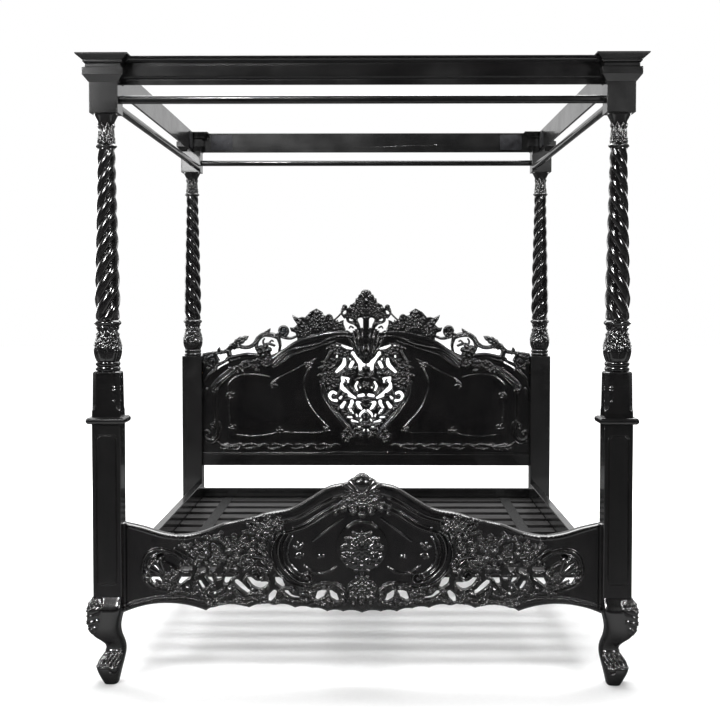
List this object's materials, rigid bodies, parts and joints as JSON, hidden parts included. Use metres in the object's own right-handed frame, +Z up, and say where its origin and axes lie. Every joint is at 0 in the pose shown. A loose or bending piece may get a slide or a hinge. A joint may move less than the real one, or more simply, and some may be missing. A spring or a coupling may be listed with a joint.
{
  "type": "four poster canopy bed",
  "caption": "Carved four poster bed with rope-twist posts, moulded canopy frame, pierced headboard and serpentine footboard in black lacquer.",
  "frame": {"origin": "on the floor under the middle of the bed", "axes": "+Z up, -Y towards the foot end, +X to the right seen from the foot end"},
  "size_m": [1.784, 2.244, 1.993],
  "materials": {
    "lacquered_wood": "high gloss black lacquer over mahogany, on the plain posts, rails and mouldings",
    "carved_wood": "high gloss black lacquer over hand carved mahogany",
    "slat_wood": "black satin lacquer on the slats and beams",
    "dowel_wood": "bare hardwood dowels",
    "webbing": "woven black strap",
    "black_steel": "black painted steel",
    "bolt_steel": "zinc plated steel"
  },
  "bodies": {
    "root": {"beam_brackets": "black_steel", "bed_bolts": "bolt_steel", "canopy_corner_plates": "black_steel", "canopy_screws": "bolt_steel", "centre_beam": "slat_wood", "centre_legs": "slat_wood", "footboard_cartouche": "carved_wood", "footboard_carved_end_left": "carved_wood", "footboard_carved_end_right": "carved_wood", "footboard_centre_panel": "carved_wood", "footboard_crest": "carved_wood", "front_cornice": "lacquered_wood", "front_curtain_rail": "lacquered_wood", "front_left_cap": "lacquered_wood", "front_left_collar": "lacquered_wood", "front_left_leg": "carved_wood", "front_left_lower_post": "lacquered_wood", "front_left_top_block": "lacquered_wood", "front_left_twist_column": "carved_wood", "front_left_upper_block": "lacquered_wood", "front_left_vase": "carved_wood", "front_right_cap": "lacquered_wood", "front_right_collar": "lacquered_wood", "front_right_leg": "carved_wood", "front_right_lower_post": "lacquered_wood", "front_right_top_block": "lacquered_wood", "front_right_twist_column": "carved_wood", "front_right_upper_block": "lacquered_wood", "front_right_vase": "carved_wood", "head_cross_rail": "lacquered_wood", "headboard_bottom_rail": "carved_wood", "headboard_cartouche": "carved_wood", "headboard_crest_centre": "carved_wood", "headboard_crest_left": "carved_wood", "headboard_crest_right": "carved_wood", "headboard_panel_left": "carved_wood", "headboard_panel_right": "carved_wood", "joint_dowels": "dowel_wood", "left_cornice": "lacquered_wood", "left_curtain_rail": "lacquered_wood", "rear_cornice": "lacquered_wood", "rear_curtain_rail": "lacquered_wood", "rear_left_cap": "lacquered_wood", "rear_left_lower_post": "lacquered_wood", "rear_left_top_block": "lacquered_wood", "rear_left_twist_column": "carved_wood", "rear_left_vase": "carved_wood", "rear_right_cap": "lacquered_wood", "rear_right_lower_post": "lacquered_wood", "rear_right_top_block": "lacquered_wood", "rear_right_twist_column": "carved_wood", "rear_right_vase": "carved_wood", "right_cornice": "lacquered_wood", "right_curtain_rail": "lacquered_wood", "side_rail_left": "lacquered_wood", "side_rail_right": "lacquered_wood", "slat_ledge_left": "slat_wood", "slat_ledge_right": "slat_wood", "slat_webbing": "webbing", "slats": "slat_wood"}
  },
  "joints": []
}
